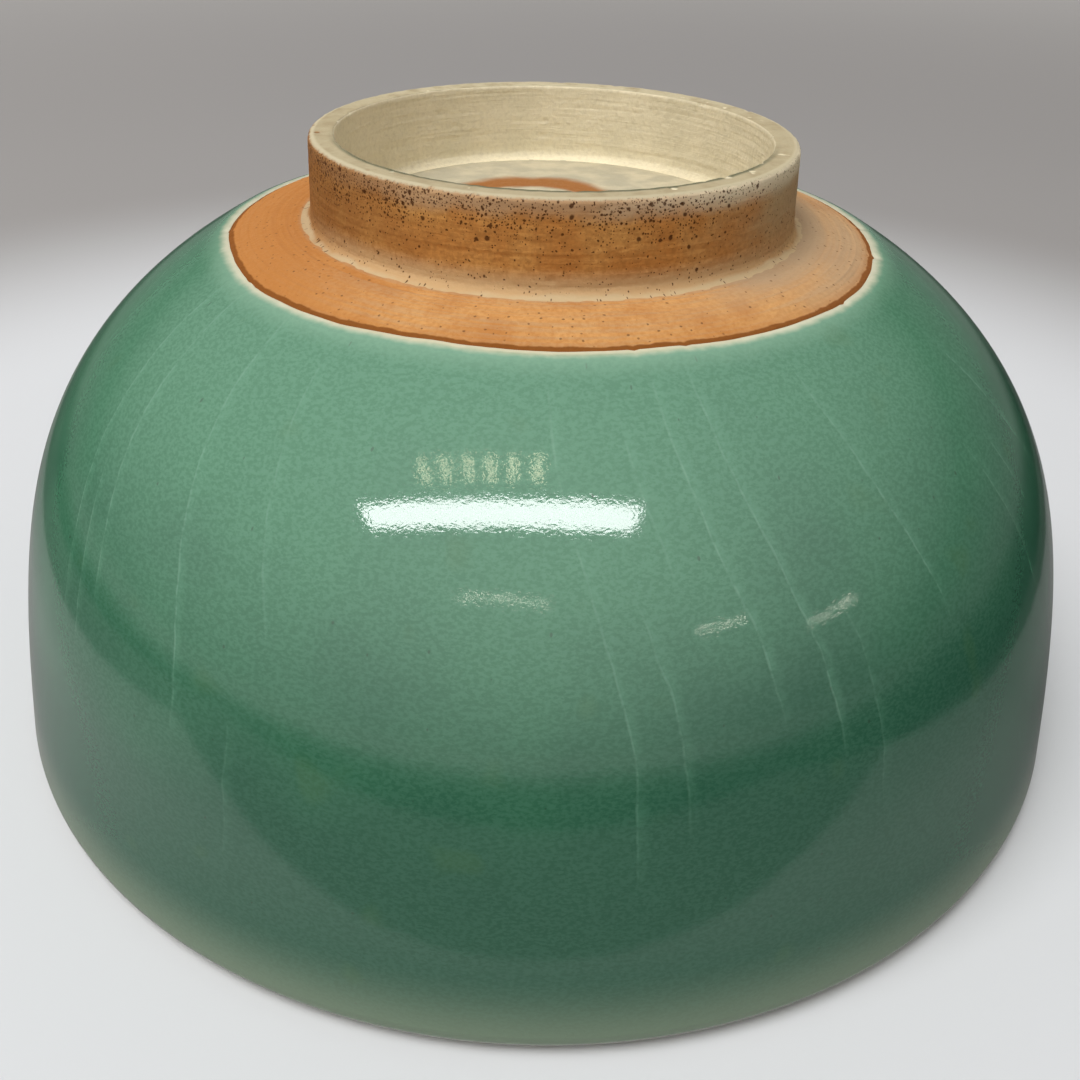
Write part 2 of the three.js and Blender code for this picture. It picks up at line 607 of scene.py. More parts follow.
@dataclass
class OuterGlaze(TurnedPiece):
    """The celadon on the outside, thinning out along its wavy edge."""

    edge_width: float = 1.6 * MM
    edge_share: float = 0.08
    wave_reach: float = 6 * MM

    def outline(self) -> tuple[list[Vector], bool]:
        """The layer's profile, up its face and down its underside.

        Returns:
            The points, and whether the last joins the first.
        """
        walls = self.profile.outer_wall(130)
        lengths = [0.0]
        for one, two in zip(walls, walls[1:]):
            lengths.append(lengths[-1] + (two.at - one.at).length)
        face = []
        for wall, length in zip(walls, lengths):
            share = min(1.0, (lengths[-1] - length) / self.edge_width)
            fullness = self.edge_share + (1 - self.edge_share) * math.sqrt(share)
            face.append(wall.raised(self.sizes.glaze_thickness * fullness))
        under = [wall.raised(-SUNK) for wall in self.profile.outer_wall(30)]
        return face + under[::-1], True

    def finish_shape(self, bm: bmesh.types.BMesh) -> None:
        """Draws the edge into its wave and stores the distance from it.

        Args:
            bm: The mesh to mark.
        """
        line, reach = self.sizes.glaze_line_radius, self.wave_reach
        slope = math.tan(math.radians(self.profile.shoulder_slope))
        high = self.profile.glaze_line.z - reach
        layer = bm.verts.layers.float.new("from_edge")
        for vertex in bm.verts:
            radius = vertex.co.xy.length
            vertex[layer] = (radius - line) / MM
            if vertex.co.z > high and radius < line + reach:
                fade = (1 - max(0.0, radius - line) / reach) ** 2
                wave = glaze_line_wave(turn_of(vertex.co)) * fade
                vertex.co = widened(vertex.co, 1 + wave / radius) - UP * wave * slope


@dataclass
class LipGlaze(TurnedPiece):
    """The glaze over the lip, thin enough to show the clay's buff."""

    def outline(self) -> tuple[list[Vector], bool]:
        """The ring's profile, round its face and back along its underside.

        Returns:
            The points, and whether the last joins the first.
        """
        outer = self.profile.lip(self.profile.lip_radius + self.sizes.glaze_thickness, 28)
        under = self.profile.lip(self.profile.lip_radius - SUNK, 12)
        return outer + under[::-1], True


@dataclass
class InnerGlaze(TurnedPiece):
    """The celadon on the inner wall and floor."""

    def outline(self) -> tuple[list[Vector], bool]:
        """The layer's profile from the axis out to the lip and back to the axis.

        Returns:
            The points, and whether the last joins the first.
        """
        def surface(wall_steps: int, floor_steps: int, height: float) -> list[Vector]:
            """Points at a height above the inner clay.

            Args:
                wall_steps: The number of steps down the wall.
                floor_steps: The number of steps over the floor.
                height: The height above the clay.

            Returns:
                The points, from the lip to the axis.
            """
            stations = self.profile.inner_wall(wall_steps) + self.profile.inner_floor(floor_steps)[1:]
            points = [station.raised(height) for station in stations]
            points[-1].x = 0
            return points

        face = surface(90, 36, self.sizes.glaze_thickness)
        under = surface(26, 10, -SUNK)
        return face[::-1] + under, False


@dataclass
class WellGlaze(TurnedPiece):
    """The small spot of pale glaze on the floor of the foot's well, a little off its middle."""

    off_centre: tuple[float, float, float] = (-1.7 * MM, 2.8 * MM, 0)
    reach: float = 6 * MM
    full: float = 0.8
    lift: float = 0.05 * MM
    bedded: float = 0.1 * MM
    shrink: float = 0.88
    sway: float = 0.16
    steps_out: int = 30

    def outline(self) -> tuple[list[Vector], bool]:
        """A low dome with a round edge.

        Returns:
            The points, and whether the last joins the first.
        """
        level = self.sizes.shoulder_height
        dome = []
        for index in range(self.steps_out + 1):
            share = index / self.steps_out
            rise = self.sizes.spot_thickness * (1 - share**4) * self.full
            dome.append(Vector((self.reach * share, 0, level + self.lift + rise)))
        under = [Vector((radius, 0, level - self.bedded)) for radius in (self.reach, 0)]
        return dome + under, False

    def finish_shape(self, bm: bmesh.types.BMesh) -> None:
        """Gives the spot its uneven outline and moves it to its place.

        Args:
            bm: The mesh to mark.
        """
        for vertex in bm.verts:
            turn = turn_of(vertex.co)
            ring = Vector((math.cos(turn), math.sin(turn), 3.3))
            grow = self.shrink + self.sway * noise.noise(ring * 1.4)
            vertex.co = widened(vertex.co, grow) + Vector(self.off_centre)


# ---- Shader graphs ------------------------------------------------------------------------------


class Graph:
    """Adds nodes to one shader tree and joins them."""

    def __init__(self, tree: bpy.types.NodeTree) -> None:
        """Starts with an empty tree.

        Args:
            tree: The tree to fill.
        """
        self.tree = tree
        tree.nodes.clear()

    def put(self, socket: Socket, value: object) -> None:
        """Joins a socket to another or sets its value.

        Args:
            socket: The input to fill.
            value: A socket, a number, a place or a colour.
        """
        if isinstance(value, bpy.types.NodeSocket):
            self.tree.links.new(value, socket)
        elif isinstance(value, tuple) and len(value) == 3 and socket.type == "RGBA":
            socket.default_value = (*value, 1)
        else:
            socket.default_value = value

    def node(self, kind: str, inputs: dict[str | int, object], **settings: object) -> bpy.types.Node:
        """Adds a node.

        Args:
            kind: The node's type.
            inputs: Values or sockets for its inputs, by name or place.
            **settings: Values for its own settings.

        Returns:
            The node.
        """
        made = self.tree.nodes.new(kind)
        for name, value in settings.items():
            setattr(made, name, value)
        for key, value in inputs.items():
            self.put(made.inputs[key], value)
        return made

    def math(self, operation: str, *values: object) -> Socket:
        """The result of a Math node."""
        return self.node("ShaderNodeMath", dict(enumerate(values)), operation=operation).outputs[0]

    def times(self, first: object, *others: object) -> Socket:
        """The product of numbers.

        Args:
            first: The first number.
            *others: The numbers that multiply it.

        Returns:
            The product.
        """
        for other in others:
            first = self.math("MULTIPLY", first, other)
        return first

    def stray(self, value: object, chance: object, amount: float) -> Socket:
        """A number that strays either way by half an amount, as a chance goes from 0 to 1."""
        return self.math("MULTIPLY_ADD", self.math("SUBTRACT", chance, 0.5), amount, value)

    def vector(self, operation: str, *values: object) -> Socket:
        """The result of a Vector Math node."""
        return self.node("ShaderNodeVectorMath", dict(enumerate(values)), operation=operation).outputs[0]

    def vector_number(self, operation: str, *values: object) -> Socket:
        """The number that a Vector Math node gives."""
        made = self.node("ShaderNodeVectorMath", dict(enumerate(values)), operation=operation)
        return made.outputs["Value"]

    def length(self, place: Socket) -> Socket:
        """The distance of a place from the origin."""
        return self.vector_number("LENGTH", place)

    def split(self, place: Socket) -> bpy.types.bpy_prop_collection:
        """The three parts of a place."""
        return self.node("ShaderNodeSeparateXYZ", {0: place}).outputs

    def join(self, first: Socket, second: Socket) -> Socket:
        """A place made of two parts."""
        return self.node("ShaderNodeCombineXYZ", {0: first, 1: second}).outputs[0]

    def parts(self, colour: Socket) -> bpy.types.bpy_prop_collection:
        """The three parts of a colour."""
        return self.node("ShaderNodeSeparateColor", {0: colour}).outputs

    def coordinates(self) -> Socket:
        """The shaded point in its object's frame."""
        return self.node("ShaderNodeTexCoord", {}).outputs["Object"]

    def attribute(self, name: str) -> Socket:
        """A number stored on the mesh."""
        return self.node("ShaderNodeAttribute", {}, attribute_name=name).outputs["Fac"]

    def ramp(self, value: Socket, low: object, high: object, start: float = 0, stop: float = 1) -> Socket:
        """A smooth step from start to stop as the value goes from low to high.

        Args:
            value: The value.
            low: Where the step starts.
            high: Where it ends.
            start: The result below the step.
            stop: The result past it.

        Returns:
            The result.
        """
        inputs = {"Value": value, "From Min": low, "From Max": high, "To Min": start, "To Max": stop}
        made = self.node("ShaderNodeMapRange", inputs, interpolation_type="SMOOTHSTEP", clamp=True)
        return made.outputs["Result"]

    def mix(self, share: object, first: object, second: object, blend: str = "MIX") -> Socket:
        """A mix of two colours.

        Args:
            share: The share of the second colour.
            first: The first colour.
            second: The second colour.
            blend: How they are blended.

        Returns:
            The mixed colour.
        """
        inputs = {0: share, 6: first, 7: second}
        made = self.node("ShaderNodeMix", inputs, data_type="RGBA", blend_type=blend, clamp_factor=True)
        return made.outputs[2]

    def layered(self, colour: object, *layers: tuple[Socket, object]) -> Socket:
        """A colour with others mixed over it in turn, each given as its share and the colour.

        Args:
            colour: The lowest colour.
            *layers: The shares and colours, from the lowest up.

        Returns:
            The colour with every layer on it.
        """
        for share, over in layers:
            colour = self.mix(share, colour, over)
        return colour

    def noise(self, place: object, size: float, detail: float = 2, rough: float = 0.5) -> Socket:
        """A noise whose lumps have a size in the units of the place."""
        inputs = {"Vector": place, "Scale": 1 / size, "Detail": detail, "Roughness": rough}
        return self.node("ShaderNodeTexNoise", inputs).outputs["Fac"]

    def group(self, tree: bpy.types.NodeTree, **inputs: object) -> bpy.types.Node:
        """Places a shared node group; underscores in input names stand for spaces.

        Args:
            tree: The shared group.
            **inputs: Values or sockets for its inputs.

        Returns:
            The group's node.
        """
        made = self.tree.nodes.new("ShaderNodeGroup")
        made.node_tree = tree
        for name, value in inputs.items():
            self.put(made.inputs[name.replace("_", " ")], value)
        return made


def new_material(name: str) -> tuple[bpy.types.Material, Graph]:
    """A new material and the graph of its empty tree.

    Args:
        name: The material's name.

    Returns:
        The material and its graph.
    """
    made = bpy.data.materials.new(name)
    made.use_nodes = True
    return made, Graph(made.node_tree)


class Kind(Enum):
    """The kinds of socket that a shared group has."""

    VALUE = "NodeSocketFloat"
    VECTOR = "NodeSocketVector"


Sockets = dict[str, Socket]
ORIGIN = (0, 0, 0)


def shared_group(
    name: str, inputs: dict[str, object], wire: Callable[[Graph, Sockets], Sockets],
) -> bpy.types.NodeTree:
    """Makes a node group once and gives the same one from then on.

    Args:
        name: The group's name.
        inputs: Each input's default; a tuple makes a vector and a number makes a number.
        wire: Joins the group's nodes and gives a socket for each output.

    Returns:
        The group.
    """
    if name in bpy.data.node_groups:
        return bpy.data.node_groups[name]
    tree = bpy.data.node_groups.new(name, "ShaderNodeTree")
    graph = Graph(tree)
    for label, default in inputs.items():
        kind = Kind.VECTOR if isinstance(default, tuple) else Kind.VALUE
        socket = tree.interface.new_socket(label, in_out="INPUT", socket_type=kind.value)
        socket.default_value = default
    entry = tree.nodes.new("NodeGroupInput")
    result = wire(graph, {label: entry.outputs[label] for label in inputs})
    for label, socket in result.items():
        tree.interface.new_socket(label, in_out="OUTPUT", socket_type=Kind[socket.type].value)
    leave = tree.nodes.new("NodeGroupOutput")
    for label, socket in result.items():
        tree.links.new(socket, leave.inputs[label])
    return tree


@dataclass(frozen=True)
class Here:
    """Where the shaded point lies on the bowl, in millimetres.

    The turn about the axis runs from 0 to 1, with the front at 0.5.
    """

    spot: Socket
    radius: Socket
    height: Socket
    turn: Socket
    right: Socket
    back: Socket

    def around(self, graph: Graph, girth: float) -> Socket:
        """The point as a flat pair: the way round a girth, and the height."""
        return graph.join(graph.times(self.turn, girth), self.height)


def place_on_bowl() -> bpy.types.NodeTree:
    """The values of Here, in their order, from a point in metres.

    Returns:
        The group.
    """
    def wire(graph: Graph, given: Sockets) -> Sockets:
        """Joins the nodes that find the point's place.

        Args:
            graph: The graph to add nodes to.
            given: The group's inputs.

        Returns:
            The group's outputs.
        """
        spot = graph.vector("MULTIPLY", given["Vector"], (1000, 1000, 1000))
        right, back, height = graph.split(spot)
        radius = graph.length(graph.join(right, back))
        bearing = graph.math("ARCTAN2", right, graph.times(back, -1))
        turn = graph.math("MULTIPLY_ADD", bearing, 1 / FULL_TURN, 0.5)
        where = {"Spot": spot, "Radius": radius, "Height": height}
        return {**where, "Turn": turn, "Right": right, "Back": back}

    return shared_group("place_on_bowl", {"Vector": ORIGIN}, wire)


def iron_specks() -> bpy.types.NodeTree:
    """Round specks of uneven size on a flat pair of coordinates, on a share of the cells of a grid.

    Returns:
        The group.
    """
    def wire(graph: Graph, given: Sockets) -> Sockets:
        """Joins the nodes that scatter the specks.

        Args:
            graph: The graph to add nodes to.
            given: The group's inputs.

        Returns:
            The group's outputs.
        """
        stir = graph.node("ShaderNodeTexNoise", {"Vector": given["Vector"], "Scale": 2.2}).outputs["Color"]
        bent = graph.vector("ADD", given["Vector"], graph.vector("MULTIPLY", stir, (0.22, 0.22, 0)))
        grid = {"Vector": bent, "Scale": graph.math("DIVIDE", 1, given["Spacing"])}
        cells = graph.node("ShaderNodeTexVoronoi", grid, voronoi_dimensions="2D").outputs
        chance = graph.parts(cells["Color"])
        chosen = graph.math("LESS_THAN", chance[0], given["Amount"])
        reach = graph.times(given["Size"], graph.ramp(chance[1], 0, 1, 0.25, 1))
        reach = graph.math("DIVIDE", reach, given["Spacing"])
        disc = graph.ramp(cells["Distance"], reach, graph.times(reach, 0.45))
        return {"Mask": graph.times(disc, chosen)}

    inputs = {"Vector": ORIGIN, "Spacing": 1.0, "Size": 0.3, "Amount": 0.5}
    return shared_group("iron_specks", inputs, wire)


def specks(graph: Graph, place: Socket, spacing: float, size: float, amount: object) -> Socket:
    """A mask of specks.

    Args:
        graph: The graph to add them to.
        place: The flat pair of coordinates that they lie on.
        spacing: The width of the grid's cells.
        size: The reach of the largest speck.
        amount: The share of the cells that hold one.

    Returns:
        The mask.
    """
    inputs = {"Vector": place, "Spacing": spacing, "Size": size, "Amount": amount}
    return graph.group(iron_specks(), **inputs).outputs["Mask"]


def turning_marks() -> bpy.types.NodeTree:
    """Fine lines that run round the axis, one above another along a coordinate.

    Returns:
        The group.
    """
    def wire(graph: Graph, given: Sockets) -> Sockets:
        """Joins the nodes that draw the lines.

        Args:
            graph: The graph to add nodes to.
            given: The group's inputs.

        Returns:
            The group's outputs.
        """
        along = graph.math("DIVIDE", given["Along"], given["Pitch"])
        place = graph.join(along, graph.times(given["Turn"], 9))
        lines = graph.noise(place, 1, 3)
        return {"Height": lines, "Mask": graph.ramp(lines, 0.42, 0.62)}

    return shared_group("turning_marks", {"Along": 0.0, "Turn": 0.0, "Pitch": 0.5}, wire)


def orange_peel() -> bpy.types.NodeTree:
    """The faint pebbling of a thick glaze: a height for the surface and a mottle for its colour.

    Returns:
        The group.
    """
    def wire(graph: Graph, given: Sockets) -> Sockets:
        """Joins the nodes that pebble the surface.

        Args:
            graph: The graph to add nodes to.
            given: The group's inputs.

        Returns:
            The group's outputs.
        """
        flat = graph.vector("MULTIPLY", given["Vector"], (1, 1, 1.7))
        fine = graph.noise(flat, 0.46, 2, 0.6)
        broad = graph.noise(given["Vector"], 5, 1)
        height = graph.math("ADD", fine, graph.times(broad, 2.5))
        return {"Height": height, "Mottle": graph.ramp(fine, 0.36, 0.64)}

    return shared_group("orange_peel", {"Vector": ORIGIN}, wire)


# ---- Crackle ------------------------------------------------------------------------------------


@dataclass(frozen=True)
class CrackleLine:
    """One long crack in the glaze, from near the foot down the wall.

    The turn is in degrees from the front, positive to the right, where the crack has straightened
    out; top and bottom are heights in millimetres.
    """

    turn: float
    top: float
    bottom: float
    strength: float = 1.0


FRONT_LONG = (
    CrackleLine(-50, 56, 27), CrackleLine(-44, 56, 30), CrackleLine(-32, 56, 24),
    CrackleLine(-22, 55, 34, 0.6), CrackleLine(8, 55, 17, 0.7), CrackleLine(21, 55, 30),
    CrackleLine(26, 55, 26), CrackleLine(41, 54, 33),
)
FRONT_SHORT = (
    CrackleLine(-47, 44, 24, 0.8), CrackleLine(-26, 30, 14, 0.4), CrackleLine(12, 42, 22, 0.7),
    CrackleLine(16, 53, 40, 0.6), CrackleLine(30, 40, 20, 0.5), CrackleLine(62, 46, 34, 0.7),
)


def whole_round(front: Sequence[CrackleLine], gap: float, seed: int) -> list[CrackleLine]:
    """Adds lines at random round the rest of the wall.

    Args:
        front: The lines at the front, in order of turn.
        gap: The mean distance between the added lines, in degrees.
        seed: The seed of the random draws.

    Returns:
        All the lines in order of turn, from -180 to 180 degrees.
    """
    draw = random.Random(seed)
    lines = list(front)
    turn = -180 + gap / 2
    while turn < 180:
        if turn < front[0].turn - gap * 0.6 or turn > front[-1].turn + gap * 0.6:
            top = draw.uniform(46, 56)
            lines.append(CrackleLine(turn, top, top - draw.uniform(14, 32), draw.uniform(0.5, 1)))
        turn += gap * draw.uniform(0.7, 1.3)
    return sorted(lines, key=lambda line: line.turn)


def as_share(degrees: float) -> float:
    """A turn from -180 to 180 degrees as a share from 0 to 1."""
    return (degrees + 180) / 360


@dataclass(frozen=True)
class Crackle:
    """A set of long cracks, in order of turn.

    The tallest height is in millimetres; the slant and the waver are shares of a full turn.
    """

    name: str
    lines: Sequence[CrackleLine]
    tallest: float = 60.0
    slant: float = 8 / 360
    waver: float = 1.3 / 360

    def tree(self) -> bpy.types.NodeTree:
        """The set's node group."""
        inputs = {"Vector": ORIGIN, "Radius": 0.0, "Height": 0.0, "Turn": 0.0}
        return shared_group(self.name, inputs, self.wire)

    def own_line(self, graph: Graph, turn: Socket) -> bpy.types.Node:
        """A ramp that gives each turn the turn, top, bottom and strength of its own crack.

        Args:
            graph: The graph to add nodes to.
            turn: The turn, as a share of a full one.

        Returns:
            The ramp.
        """
        ramp = graph.node("ShaderNodeValToRGB", {0: turn})
        stops = ramp.color_ramp
        stops.interpolation = "CONSTANT"
        middles = [(one.turn + two.turn) / 2 for one, two in zip(self.lines, self.lines[1:])]
        for start, line in zip([-180, *middles], self.lines):
            position = as_share(start)
            stop = stops.elements.new(position) if position else stops.elements[0]
            stop.position = position
            ends = (line.top / self.tallest, line.bottom / self.tallest)
            stop.color = (as_share(line.turn), *ends, line.strength)
        if len(stops.elements) > len(self.lines):
            stops.elements.remove(stops.elements[-1])
        return ramp

    def wire(self, graph: Graph, given: Sockets) -> Sockets:
        """A mask of the cracks' thin lines, and one of a band along one side of each.

        Args:
            graph: The graph to add nodes to.
            given: The group's inputs.

        Returns:
            The group's outputs.
        """
        height, turn = given["Height"], given["Turn"]
        lean = graph.math("POWER", graph.ramp(height, 24, 56), 1.4)
        place = graph.join(graph.math("DIVIDE", height, 7), graph.times(turn, 60))
        moved = graph.math("MULTIPLY_ADD", lean, self.slant, turn)
        moved = graph.stray(moved, graph.noise(place, 1, 3, 0.6), self.waver)
        ramp = self.own_line(graph, moved)
        own = graph.parts(ramp.outputs["Color"])
        girth = graph.times(given["Radius"], FULL_TURN)
        offset = graph.times(graph.math("SUBTRACT", moved, own[0]), girth)
        level = graph.math("DIVIDE", height, self.tallest)
        below_top = graph.ramp(graph.math("SUBTRACT", own[1], level), 0, 0.05)
        above_end = graph.ramp(graph.math("SUBTRACT", level, own[2]), 0, 0.12)
        broken = graph.ramp(graph.noise(given["Vector"], 1.6, 3, 0.7), 0.36, 0.6, 0.25, 1)
        shown = graph.times(below_top, above_end, ramp.outputs["Alpha"], broken)
        line = graph.ramp(graph.math("ABSOLUTE", offset), 0.17, 0.04)
        side = graph.times(graph.ramp(offset, 1.3, 0.1), graph.ramp(offset, -0.1, 0.05))
        return {"Line": graph.times(line, shown), "Side": graph.times(side, shown)}


# ---- Materials ----------------------------------------------------------------------------------


CLAY_SHEEN = 0.06
# From the middle of the well's flashed ring to the axis, in millimetres.
RING_TO_AXIS = (2.4, -2.8, 0)


@dataclass(frozen=True)
class Finish:
    """A finish that is made into one material."""

    name: str

    def material(self) -> bpy.types.Material:
        """Makes the material, with its shader in place.

        Returns:
            The material.
        """
        made, graph = new_material(self.name)
        shader = graph.node("ShaderNodeBsdfPrincipled", {"Metallic": 0.0})
        output = graph.node("ShaderNodeOutputMaterial", {"Surface": shader.outputs[0]})
        output.is_active_output = True
        place = graph.group(place_on_bowl(), Vector=graph.coordinates())
        self.wire(graph, Here(*place.outputs), shader)
        return made

    def wire(self, graph: Graph, here: Here, shader: bpy.types.Node) -> None:
        """Joins the finish's nodes to the shader."""
        raise NotImplementedError

    def dress(
        self, graph: Graph, shader: bpy.types.Node, colour: Socket, roughness: Socket,
        relief: Socket, depth: float,
    ) -> None:
        """Joins what a finish has made to its shader.

        Args:
            graph: The finish's graph.
            shader: The shader.
            colour: The surface's colour.
            roughness: Its roughness.
            relief: The height of its bumps, from 0 to 1.
            depth: What a height of 1 comes to, in millimetres.
        """
        bumps = {"Strength": 1.0, "Distance": depth * MM, "Height": relief}
        graph.put(shader.inputs["Base Color"], colour)
        graph.put(shader.inputs["Roughness"], roughness)
        graph.put(shader.inputs["Normal"], graph.node("ShaderNodeBump", bumps).outputs[0])


def from_ring_middle(graph: Graph, here: Here, sway: Socket, amount: float) -> Socket:
    """The distance from the middle of the well's flashed ring, strayed by a noise."""
    centred = graph.vector("ADD", here.spot, RING_TO_AXIS)
    return graph.stray(graph.length(graph.vector("MULTIPLY", centred, (1, 1, 0))), sway, amount)


class GlazeSide(Enum):
    """The part of the bowl that a celadon finish covers."""

    OUTSIDE = "outside"
    LIP = "lip"
    INSIDE = "inside"


@dataclass(frozen=True)
class Celadon(Finish):
    """Glossy celadon: deep green where it is thick, minty where thin, buff where it breaks. The minty
    upper wall is partly painted reflection of the ceiling, and the right side carries painted shade.
    """

    side: GlazeSide
    deep: Colour = (0.026, 0.098, 0.056)
    # thin: the glaze's thinner green, also standing in for painted reflection of the bright ceiling.
    thin: Colour = (0.052, 0.184, 0.096)
    mottle_gain: Colour = (1.65, 1.32, 1.45)
    pale: Colour = (0.13, 0.32, 0.20)
    stain: Colour = (0.062, 0.145, 0.050)
    pinhole: Colour = (0.03, 0.06, 0.035)
    breaking: Colour = (0.27, 0.32, 0.22)
    buff: Colour = (0.46, 0.41, 0.29)
    by_edge: Colour = (0.19, 0.36, 0.235)
    halo: Colour = (0.62, 0.60, 0.43)
    crack: Colour = (0.24, 0.42, 0.31)
    girth: float = 380.0
    refraction: float = 1.52

    def wire(self, graph: Graph, here: Here, shader: bpy.types.Node) -> None:
        """The glaze's colour, its marks outside, the buff of the lip, and a pebbled gloss.

        Args:
            graph: The graph to add nodes to.
            here: The shaded point.
            shader: The finish's shader.
        """
        peel = graph.group(orange_peel(), Vector=here.spot).outputs
        colour = self.mottled(graph, here, peel["Mottle"])
        if self.side is GlazeSide.OUTSIDE:
            colour = self.haloed(graph, here, self.crackled(graph, here, colour))
        colour = graph.layered(
            colour,
            (graph.ramp(here.height, 10, 0.8, 0, 0.62), self.breaking),
            (graph.ramp(here.height, 1.7, 0.5, 0, 0.75), self.buff),
        )
        gloss = graph.ramp(graph.noise(here.spot, 9, 2), 0.35, 0.7, 0.03, 0.06)
        shader.inputs["IOR"].default_value = self.refraction
        self.dress(graph, shader, colour, gloss, peel["Height"], 0.008)

    def mottled(self, graph: Graph, here: Here, mottle: Socket) -> Socket:
        """The colour by height and side, with its mottle, stains and pinholes: lighter higher up for
        thinner glaze and painted reflection, darker to the right as painted shade.

        Args:
            graph: The graph to add nodes to.
            here: The shaded point.
            mottle: The mask of the mottle.

        Returns:
            The colour.
        """
        # Deep to thin by height: thinner glaze, and partly painted reflection of the bright ceiling.
        thinness_and_painted_light = graph.stray(here.height, graph.noise(here.spot, 16, 2), 26)
        # Painted shade: the glaze deepens towards the right, away from the lights.
        thinness_and_painted_light = graph.math("MULTIPLY_ADD", graph.math("MAXIMUM", here.right, 0), -0.25, thinness_and_painted_light)
        colour = graph.mix(graph.ramp(thinness_and_painted_light, 16, 50), self.deep, self.thin)
        lighter = graph.mix(1.0, colour, self.mottle_gain, "MULTIPLY")
        pinholes = specks(graph, here.around(graph, self.girth), 5.0, 0.2, 0.3)
        return graph.layered(
            colour,
            (graph.times(mottle, 0.7), lighter),
            (graph.ramp(graph.noise(here.spot, 6, 1), 0.68, 0.8, 0, 0.22), self.stain),
            (graph.times(pinholes, 0.6), self.pinhole),
        )

    def crackled(self, graph: Graph, here: Here, colour: Socket) -> Socket:
        """The colour with both sets of crackle lines on it.

        Args:
            graph: The graph to add nodes to.
            here: The shaded point.
            colour: The colour so far.

        Returns:
            The colour with the crackle.
        """
        sets = (
            Crackle("long_crackle", whole_round(FRONT_LONG, 13, seed=31)),
            Crackle("short_crackle", whole_round(FRONT_SHORT, 17, seed=32)),
        )
        place = {"Vector": here.spot, "Radius": here.radius, "Height": here.height, "Turn": here.turn}
        for crackle in sets:
            found = graph.group(crackle.tree(), **place).outputs
            colour = graph.layered(
                colour,
                (graph.times(found["Side"], 0.24), self.pale),
                (graph.times(found["Line"], 0.2), self.crack),
            )
        return colour

    def haloed(self, graph: Graph, here: Here, colour: Socket) -> Socket:
        """The colour with the pale halo where the glaze thins out at its edge.

        Args:
            graph: The graph to add nodes to.
            here: The shaded point.
            colour: The colour so far.

        Returns:
            The colour with the halo.
        """
        away = graph.stray(graph.attribute("from_edge"), graph.noise(here.spot, 1.3, 2), 0.6)
        return graph.layered(
            colour,
            (graph.ramp(away, 3.6, 0.4, 0, 0.65), self.by_edge),
            (graph.ramp(away, 1.3, 0.2), self.halo),
        )


@dataclass(frozen=True)
class Unevenness:
    """What makes a clay's colour uneven: a cloudy noise, a fine one, and the way to the right."""

    cloud: Socket
    fine: Socket
    side: Socket

    @classmethod
    def over(cls, graph: Graph, here: Here, cloudy: float, fine: float, sway: float) -> "Unevenness":
        """Makes the unevenness.

        Args:
            graph: The graph to add it to.
            here: The shaded point.
            cloudy: The size of the cloudy noise.
            fine: The size of the fine noise.
            sway: How far the cloudy noise sways the way to the right.

        Returns:
            The unevenness.
        """
        cloud = graph.noise(here.spot, cloudy, 3)
        return cls(cloud, graph.noise(here.spot, fine, 3, 0.6), graph.stray(here.right, cloud, sway))


